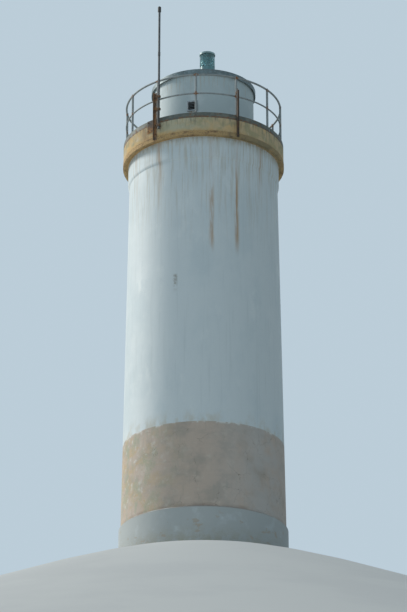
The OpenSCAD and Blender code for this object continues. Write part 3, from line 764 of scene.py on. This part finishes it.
def rusted(name, depth=0.0016):
    """Steel rusted right through its paint: dark brown scale, orange where it is fresh."""
    steel = Finish(name, (0.125, 0.08, 0.052), 0.82, metallic=0.1)
    steel.coat((0.2, 0.115, 0.062), 0.9, steel.patches(0.09, 0.42, 0.62))
    steel.coat((0.33, 0.185, 0.085), 0.95, steel.patches(0.045, 0.54, 0.68, (3, 8, 1)))
    steel.coat((0.052, 0.042, 0.038), 0.65, steel.patches(0.06, 0.56, 0.68, (8, 3, 5)))
    steel.coat((0.3, 0.24, 0.16), 0.9, steel.patches(0.025, 0.64, 0.7, (5, 5, 9)))
    steel.relief(steel.patches(0.02, 0.35, 0.65, detail=6.0), depth)
    steel.relief(steel.pits(0.01, 0.35), -0.0007)
    return steel


def nosing_steel():
    """Rusted steel, washed over with ochre from the slab and olive on its right."""
    steel = rusted("nosing_rusted_steel")
    steel.coat((0.57, 0.39, 0.18), 0.9, steel.patches(0.16, 0.28, 0.5, (2, 4, 6), tall=0.5),
               steel.patches(0.016, 0.24, 0.6, (1, 1, 4)))
    steel.coat((0.235, 0.205, 0.125), 0.9, steel.near_turn(48, 50),
               steel.patches(0.2, 0.22, 0.46, (6, 1, 3), full=0.85))
    return steel


settle(nosing, nosing_steel(), "rusted_steel", "slab_nosing")

# Toe board
# Flat steel bar bent round the slab's edge, one length to each bay, with a welded angle cleat
# near each end that is bolted to the deck. It was painted dark and rusts along its foot.
post_count = 12
post_turn = -5.5
bay = 360.0 / post_count
post_turns = [post_turn + number * bay for number in range(post_count)]
cleat_turn = math.degrees(0.120 / slab_radius)
cleat_bolt_out = slab_radius - 0.008 - 0.024
cleat_top = deck_height + 0.0045
upward = Vector((0.0, 0.0, 1.0))


def dark_bar_paint():
    """Dark paint on flat bar, worn thin, with rust creeping up from the foot."""
    bar = Finish("toe_board_paint", (0.1, 0.118, 0.105), 0.6, metallic=0.2)
    bar.coat((0.18, 0.188, 0.16), 0.72, bar.patches(0.1, 0.42, 0.66))
    creep = bar.either(bar.both(bar.rise(deck_height + 0.06, deck_height), bar.patches(0.05, 0.4, 0.6)),
                       bar.patches(0.07, 0.6, 0.66))
    bar.coat((0.2, 0.1, 0.05), 0.9, creep)
    bar.coat((0.34, 0.165, 0.065), 0.95, creep, bar.patches(0.02, 0.5, 0.6, (1, 1, 6)))
    bar.grain(0.012, 0.0005)
    bar.relief(creep, 0.0007)
    return bar


def bolt_heads(name, places, across, high):
    """Hexagon heads on round washers, with a domed end of thread, each standing on a face."""
    washer = cylinder(0.00075, sides=16, radius=across * 0.68, depth=0.0025)
    head = cylinder(0.002 + high / 2, sides=6, radius=across * 0.577, depth=high)
    soften(head, high * 0.12, segments=1)
    thread = cylinder(0.002 + high * 1.1, sides=10, radius=across * 0.27, depth=high * 0.3)
    return joined(name, copies(joined(name, [washer, head, thread]), places))


remade("toe_board", "toe_board_bars", dark_bar_paint(), "dark_steel", 0.0012, segments=1, held_back=False)
cleat_places = [standing(spot(turn + side * cleat_turn, cleat_bolt_out, cleat_top), upward)
                for turn in post_turns for side in (-1.0, 1.0)]
settle(bolt_heads("toe_board_bolts", cleat_places, across=0.013, high=0.007),
       rusted("toe_bolts_rusted_steel", 0.0006), "rusted_steel")

# Railing
# Twelve tube posts on square feet, and two rings of tube bent to the gallery's curve, coped
# to the posts and welded all round. The paint is chalky and rust breaks out at the welds.
rail_radius = 1.689
post_radius = 0.024
top_rail_height = deck_height + 1.050
mid_rail_height = deck_height + 0.600
rails = ((top_rail_height, 0.021), (mid_rail_height, 0.017))
foot_top = deck_height + 0.0125
foot_bolt_step = 0.031


def chalky_rail_paint():
    """Old grey paint on tube, gone chalky, with rust at the feet and beside every weld."""
    paint = Finish("railing_paint", (0.255, 0.29, 0.295), 0.62)
    paint.coat((0.35, 0.38, 0.38), 0.75, paint.patches(0.12, 0.42, 0.68))
    paint.coat((0.15, 0.175, 0.178), 0.55, paint.patches(0.03, 0.54, 0.72, tall=5))
    from_bay = paint.maths("SUBTRACT", paint.turn_round(), math.radians(post_turn - bay / 2))
    in_bay = paint.maths("FRACT", paint.maths("DIVIDE", from_bay, math.radians(bay)))
    to_post = paint.maths("ABSOLUTE", paint.maths("SUBTRACT", in_bay, 0.5))
    by_mid_rail = paint.both(paint.rise(mid_rail_height - 0.06, mid_rail_height - 0.02),
                             paint.rise(mid_rail_height + 0.06, mid_rail_height + 0.02))
    by_rails = paint.either(by_mid_rail, paint.rise(top_rail_height - 0.07, top_rail_height - 0.02))
    welds = paint.both(by_rails, paint.ramp(to_post, 0.085, 0.02))
    rust = paint.both(paint.either(paint.rise(deck_height + 0.2, deck_height), welds),
                      paint.patches(0.035, 0.42, 0.52, (2, 2, 2)))
    spots = paint.either(rust, paint.patches(0.045, 0.64, 0.675, (6, 1, 3)))
    paint.coat((0.23, 0.105, 0.045), 0.9, spots)
    paint.coat((0.38, 0.18, 0.07), 0.95, spots, paint.patches(0.012, 0.5, 0.6))
    paint.grain(0.01, 0.0003)
    paint.relief(spots, 0.0008)
    return paint


def ring(radius, thickness, segments, sides=6):
    """A thin round ring at the origin, for a weld bead or a gasket."""
    made = modelled(bpy.ops.mesh.primitive_torus_add, major_segments=segments, minor_segments=sides,
                    major_radius=radius, minor_radius=thickness)
    bpy.ops.object.shade_smooth()
    return made


def uneven(bead, amount):
    """Makes a weld bead a little lumpy."""
    for vertex in bead.data.vertices:
        vertex.co *= 1.0 + amount * noise.noise(vertex.co * 300.0)
    return bead


def coped_bead(tube_radius):
    """A weld bead round the end of a rail, bent to the post that the rail is coped to."""
    bead = ring(tube_radius + 0.0008, 0.0032, segments=24)
    for vertex in bead.data.vertices:
        sideways = min(abs(vertex.co.x), post_radius * 0.98)
        vertex.co.z += math.sqrt(post_radius ** 2 - sideways ** 2)
    return uneven(bead, 0.03)


def along_rail(turn, height, side):
    """The place of a bead on a post, facing along the rail to one side."""
    turned_to = Matrix.Rotation(math.radians(270.0 + turn), 4, "Z")
    tipped = Matrix.Rotation(-side * math.pi / 2, 4, "X")
    return Matrix.Translation(spot(turn, rail_radius, height)) @ turned_to @ tipped


railing_paint = chalky_rail_paint()
for node_name in ("railing_posts", "mid_rail", "top_rail"):
    dress(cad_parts[node_name], railing_paint)
welds = []
for height, tube_radius in rails:
    welds += copies(coped_bead(tube_radius),
                    [along_rail(turn, height, side) for turn in post_turns for side in (1.0, -1.0)])
welds += copies(ring(post_radius + 0.001, 0.004, segments=24),
                [Matrix.Translation(spot(turn, rail_radius, foot_top)) for turn in post_turns])
settle(joined("railing_welds", welds), railing_paint, "rail_paint")
foot_bolt_places = [
    standing(spot(turn, rail_radius + outward, foot_top - 0.0007, right), upward) for turn in post_turns
    for outward in (-foot_bolt_step, foot_bolt_step) for right in (-foot_bolt_step, foot_bolt_step)]
settle(bolt_heads("post_foot_bolts", foot_bolt_places, across=0.017, high=0.009),
       rusted("foot_bolts_rusted_steel", 0.0006), "rusted_steel")

# Outer stays and clamps
# Two lengths of steel angle stand outside the slab's face, packed off it and clamped to the
# posts beside them. They have rusted almost black, the left one browner.
stay_turns = (post_turn - bay, post_turn + bay)
mast_turn = stay_turns[0]
packer_depth = 0.020
stay_thickness = 0.007
stay_face = slab_radius + packer_depth + stay_thickness
stay_bolt_heights = (9.240, 9.4575, 10.167)
let_in = 0.0008
bolt_right = 0.006


def facing_out(turn, outward, height, right=0.0):
    """The place of a small piece on a face that looks straight out from the tower."""
    return standing(spot(turn, outward, height, right), spot(turn, 1.0, 0.0))


def blackened_steel():
    """Steel angle rusted almost black, with brown patches, and more of them by the mast."""
    steel = Finish("stay_blackened_steel", (0.072, 0.058, 0.048), 0.75, metallic=0.2)
    steel.coat((0.14, 0.085, 0.052), 0.88, steel.patches(0.08, 0.42, 0.64, tall=2))
    steel.coat((0.24, 0.12, 0.052), 0.95, steel.patches(0.035, 0.58, 0.68, (4, 1, 1)))
    by_mast = steel.near_turn(mast_turn, 20)
    steel.coat((0.25, 0.18, 0.13), 0.9, by_mast, steel.patches(0.09, 0.26, 0.5, (4, 4, 4), tall=2))
    steel.coat((0.34, 0.18, 0.085), 0.93, by_mast, steel.patches(0.05, 0.42, 0.6, (7, 3, 2), tall=2))
    steel.relief(steel.patches(0.018, 0.35, 0.65), 0.0012)
    return steel


remade("outer_stays", "outer_stay_angles", blackened_steel(), "rusted_steel", 0.0015)
remade("stay_clamps", "stay_packers_and_clamps", rusted("clamp_rusted_steel"), "rusted_steel", 0.0015,
       segments=1)
stay_bolt_places = [facing_out(turn, stay_face - let_in, height, bolt_right)
                    for turn in stay_turns for height in stay_bolt_heights]
settle(bolt_heads("stay_bolts", stay_bolt_places, across=0.022, high=0.012),
       rusted("stay_bolts_rusted_steel", 0.0008), "rusted_steel")

# Edge plate
# A steel plate rolled to the slab's curve and lapped over its edge beside the mast, held by
# four bolts.
plate_turn = -40.0
plate_face = slab_radius + 0.0095
plate_bolt_turn = 2.2
plate_bolt_heights = (9.375, 9.580)


def edge_plate_steel():
    """Rusted steel, orange towards its foot and nearly black where it turns over the edge."""
    steel = rusted("edge_plate_rusted_steel")
    steel.coat((0.42, 0.215, 0.085), 0.95, steel.rise(9.47, 9.36), steel.patches(0.05, 0.36, 0.56))
    steel.coat((0.045, 0.042, 0.038), 0.7, steel.rise(9.45, 9.53, 0.85))
    return steel


remade("edge_plate", "edge_plate_steel", edge_plate_steel(), "rusted_steel", 0.0015, segments=1)
plate_bolt_places = [facing_out(plate_turn + side * plate_bolt_turn, plate_face, height)
                     for side in (-1.0, 1.0) for height in plate_bolt_heights]
settle(bolt_heads("edge_plate_bolts", plate_bolt_places, across=0.019, high=0.010),
       rusted("plate_bolts_rusted_steel", 0.0006), "rusted_steel")

# Mast
# Two slim tubes joined in a welded sleeve, with a thicker tip, held on arms that are bolted to
# the left stay. They were galvanised once and are now dark grey and mottled, their grey darkened
# further with painted shade, as a tube seen against a bright sky looks.
mast_outward = 1.801
mast_right = 0.110
mast_radius = 0.024
clamp_heights = (9.415, 9.800, 10.100)
sleeve_ends = (11.090, 11.180)
arm_face = stay_face + 0.014
block_face = stay_face + 0.061


def shade_darkened_zinc():
    """Old galvanised tube, dark grey and darkened further with painted shade: spangled and stained, with a
    black tip.
    """
    # Painted shade: the base grey is darker than old zinc, for the shade of a tube seen against a bright
    # sky.
    zinc = Finish("mast_zinc", (0.088, 0.096, 0.1), 0.58, metallic=0.2)
    zinc.coat((0.15, 0.16, 0.162), 0.65, zinc.patches(0.05, 0.46, 0.68))
    zinc.coat((0.055, 0.056, 0.055), 0.7, zinc.patches(0.1, 0.5, 0.66, (1, 5, 1), tall=4))
    zinc.coat((0.05, 0.05, 0.048), 0.6, zinc.rise(12.14, 12.18))
    zinc.coat((0.24, 0.12, 0.055), 0.9, zinc.patches(0.04, 0.62, 0.68, (7, 2, 2)))
    zinc.grain(0.01, 0.0003)
    return zinc


mast_zinc = shade_darkened_zinc()
remade("mast", "mast_tube", mast_zinc, "dark_steel", 0.002)
remade("mast_clamps", "mast_clamp_blocks", rusted("mast_clamp_rusted_steel"), "rusted_steel", 0.0015,
       segments=1)
clamp_bolt_places = [facing_out(mast_turn, face - let_in, height, right) for height in clamp_heights
                     for face, right in ((arm_face, bolt_right), (block_face, mast_right))]
settle(bolt_heads("mast_clamp_bolts", clamp_bolt_places, across=0.017, high=0.009),
       rusted("mast_bolts_rusted_steel", 0.0006), "rusted_steel")
sleeve_beads = copies(uneven(ring(mast_radius + 0.0006, 0.0026, segments=32), 0.02), [
    Matrix.Translation(spot(mast_turn, mast_outward, height, mast_right)) for height in sleeve_ends])
settle(joined("mast_sleeve_welds", sleeve_beads), mast_zinc, "dark_steel")

# Drum
# The small round room on the gallery, rendered and painted white, with the vent seaward and
# its own low door landward.
drum_radius = 1.100
drum_bore = 0.920
roof_height = 10.890
drum_sides = 192
hatch_width = 0.560
hatch_low = 9.570
hatch_high = 10.630
vent_turn = -12.5
vent_height = 10.110
vent_half_width = 0.093
vent_half_height = 0.098
drum_outline = [(drum_radius, deck_height), (drum_radius, roof_height)]
drum = wall_ring("drum_wall", drum_outline, drum_bore, drum_sides)
cut_through(drum, (-hatch_width / 2, 0.0, hatch_low), (hatch_width / 2, past_wall, hatch_high))
cut_through(drum, (-vent_half_width, -past_wall, vent_height - vent_half_height),
            (vent_half_width, 0.0, vent_height + vent_half_height), vent_turn)
soften(drum, 0.0)


def drum_paint():
    """White paint, greyer and bluer all over than the shaft's, grimed at its foot, darker in streaks
    towards its head, with a stain under the vent.
    """
    paint = white_paint("drum_masonry_paint")
    # Greyer and bluer all over than the shaft's paint.
    paint.coat((0.46, 0.555, 0.575), None, paint.patches(0.5, 0.15, 0.55, full=0.9))
    paint.coat((0.48, 0.47, 0.4), 0.85, paint.rise(9.75, 9.5, 0.9), paint.patches(0.07, 0.4, 0.6))
    # Darker in vertical streaks towards the head, under the roof's edge.
    paint.coat((0.47, 0.47, 0.42), 0.8, paint.rise(10.2, 10.87, 0.8),
               paint.patches(0.035, 0.5, 0.66, (2, 9, 0), tall=14))
    paint.coat((0.36, 0.25, 0.15), 0.85, paint.near_turn(vent_turn, 6.5), paint.rise(9.55, 10.0, 0.8),
               paint.rise(10.03, 9.98), paint.patches(0.03, 0.38, 0.6, tall=12))
    return paint


settle(drum, drum_paint(), "white_render", *quarters("drum"))

# Drum vent
# A louvred steel vent in a rim, let into the drum's wall on its seaward side. Its grey paint
# has gone dull, with rust on the rim and blades.
vent_screw_face = drum_radius + 0.022
vent_screw_up = 0.107
vent_screw_right = 0.102
vent_steel = dull_steel("vent_steel", (0.24, 0.27, 0.285), rusting=0.60)
remade("drum_vent", "drum_vent_louvre", vent_steel, "dark_steel", 0.0012, segments=1)
vent_screw_places = [facing_out(vent_turn, vent_screw_face, vent_height + up, right)
                     for up in (-vent_screw_up, vent_screw_up)
                     for right in (-vent_screw_right, vent_screw_right)]
settle(slot_screws("vent_screws", vent_screw_places, across=0.011), vent_steel, "dark_steel")

# Drum door
# A low framed steel door with one sunk panel, two hinges and a lever handle, in the same
# grey-green as the entrance.
hatch_paint = door_paint("drum_door_paint", hatch_low, hatch_high)
hatch_steel = dull_steel("drum_fittings_steel")
remade("drum_door_frame", "drum_door_frame_steel", hatch_paint, "door_paint", 0.002)
remade("drum_door", "drum_door_steel", hatch_paint, "door_paint", 0.002)
remade("drum_door_fittings", "drum_door_hinges_and_handle", hatch_steel, "dark_steel", 0.0)
screws_and_keyhole("drum_door", hatch_steel, face=1.043, across=0.007, hinge_x=0.252,
                   hinge_heights=(9.782, 10.418), flap_out=0.018, handle_x=-0.185, handle_z=10.100)

# Roof
# A low cone of concrete with an upstand for the beacon, under a brushed blue-grey coating
# that has gone dirty. A metal band is riveted round its edge.
band_face = 1.146
rivet_height = 10.925
rivet_step = 10
rivet_radius = 0.006


def roof_coating():
    """A brushed waterproof coat, blue-grey, with dirt and moss in its hollows."""
    coating = Finish("drum_roof_coating", (0.155, 0.215, 0.225), 0.6)
    coating.coat((0.22, 0.28, 0.28), 0.7, coating.patches(0.3, 0.42, 0.66))
    washed = coating.patches(0.09, 0.44, 0.72, tall=3, full=0.75, place=coating.drawn_in(drum_radius))
    coating.coat((0.115, 0.15, 0.155), 0.5, washed, coating.patches(0.2, 0.38, 0.62, (5, 5, 0)))
    coating.coat((0.135, 0.155, 0.115), 0.95, coating.patches(0.45, 0.44, 0.6, (3, 3, 0)),
                 coating.patches(0.025, 0.52, 0.64, (1, 7, 0)))
    coating.grain(0.01, 0.0005)
    coating.grain(0.15, 0.002, 2)
    return coating


def rivet_head():
    """A low round head at the origin: a sphere cut just under its middle and flattened."""
    rivet = modelled(bpy.ops.mesh.primitive_uv_sphere_add, segments=12, ring_count=8, radius=rivet_radius)
    bpy.ops.object.mode_set(mode="EDIT")
    bpy.ops.mesh.select_all(action="SELECT")
    bpy.ops.mesh.bisect(plane_co=(0.0, 0.0, -0.0005), plane_no=upward, use_fill=True, clear_inner=True)
    bpy.ops.mesh.select_all(action="SELECT")
    bpy.ops.transform.resize(value=(1.0, 1.0, 0.55), center_override=(0.0, 0.0, 0.0))
    bpy.ops.object.mode_set(mode="OBJECT")
    bpy.ops.object.shade_smooth_by_angle(angle=math.radians(50.0))
    return rivet


remade("drum_roof", "drum_roof_slab", roof_coating(), "roof_coating", 0.006)
roof_band_steel = dull_steel("roof_band_steel", (0.125, 0.165, 0.175), rusting=0.62)
remade("roof_band", "roof_band_strip", roof_band_steel, "dark_steel", 0.001, segments=1)
rivet_places = [facing_out(turn, band_face, rivet_height) for turn in range(0, 360, rivet_step)]
settle(joined("roof_band_rivets", copies(rivet_head(), rivet_places)), roof_band_steel, "dark_steel")

# Beacon
# A marine lantern on a flanged steel tube with four web plates: a cast casing, a drum lens
# in prism rings round its lamp column, and a domed cap. All but the lens is painted.
beacon_x = 0.085
beacon_seat = 11.120
flange_top = beacon_seat + 0.0138
flange_bolt_circle = 0.160
flange_bolt_count = 8
gasket_heights = (11.600, 11.910)
gasket_radius = 0.1585


def beacon_paint(name, colour):
    """Green-blue enamel on castings, dulled by salt, with run marks and chips."""
    enamel = Finish(name, colour, 0.34)
    enamel.coat([c * 1.45 for c in colour], 0.5, enamel.patches(0.1, 0.42, 0.68))
    enamel.coat([c * 0.55 for c in colour], 0.6, enamel.patches(0.02, 0.54, 0.72, tall=9))
    enamel.coat((0.2, 0.11, 0.06), 0.9, enamel.patches(0.025, 0.655, 0.69, (1, 2, 7)))
    enamel.grain(0.008, 0.0002)
    return enamel


def tinted_glass():
    """Green-blue glass, filmed with salt in streaks."""
    glass = Finish("lens_tinted_glass", (0.35, 0.6, 0.63), 0.1)
    glass.lay("IOR", 1.5)
    glass.lay("Transmission Weight", 0.80)
    glass.coat((0.4, 0.56, 0.55), 0.35, glass.patches(0.03, 0.5, 0.72, tall=4, full=0.6))
    glass.grain(0.02, 0.0001)
    return glass


def lamp_metal():
    """Satin aluminium, dulled in patches."""
    metal = Finish("lamp_column_metal", (0.7, 0.72, 0.72), 0.35, metallic=0.6)
    metal.coat((0.52, 0.53, 0.52), 0.45, metal.patches(0.03, 0.45, 0.65))
    return metal


def gasket_rubber():
    """Black rubber, greyed by the weather."""
    rubber = Finish("gasket_rubber", (0.035, 0.036, 0.036), 0.7)
    rubber.coat((0.085, 0.088, 0.085), 0.85, rubber.patches(0.02, 0.45, 0.65))
    return rubber


remade("beacon_pedestal", "beacon_pedestal_tube", beacon_paint("pedestal_enamel", (0.115, 0.24, 0.26)),
       "beacon_paint", 0.002)
remade("beacon_casing", "beacon_casing_pot", beacon_paint("casing_enamel", (0.115, 0.25, 0.27)),
       "beacon_paint", 0.002)
remade("beacon_cap", "beacon_cap_dome", beacon_paint("cap_enamel", (0.25, 0.375, 0.385)),
       "rail_paint", 0.003)
dress(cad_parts["beacon_lens"], tinted_glass())
dress(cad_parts["beacon_lamp"], lamp_metal())
gaskets = copies(ring(gasket_radius, 0.0042, segments=64, sides=8),
                 [Matrix.Translation((beacon_x, 0.0, height)) for height in gasket_heights])
settle(joined("lens_gaskets", gaskets), gasket_rubber(), "dark_steel")
flange_bolt_places = []
for number in range(flange_bolt_count):
    at = spot((number + 0.5) * 360.0 / flange_bolt_count, flange_bolt_circle, flange_top)
    at.x += beacon_x
    flange_bolt_places.append(standing(at, upward))
settle(bolt_heads("beacon_flange_bolts", flange_bolt_places, across=0.019, high=0.010),
       dull_steel("flange_bolt_steel"), "dark_steel")
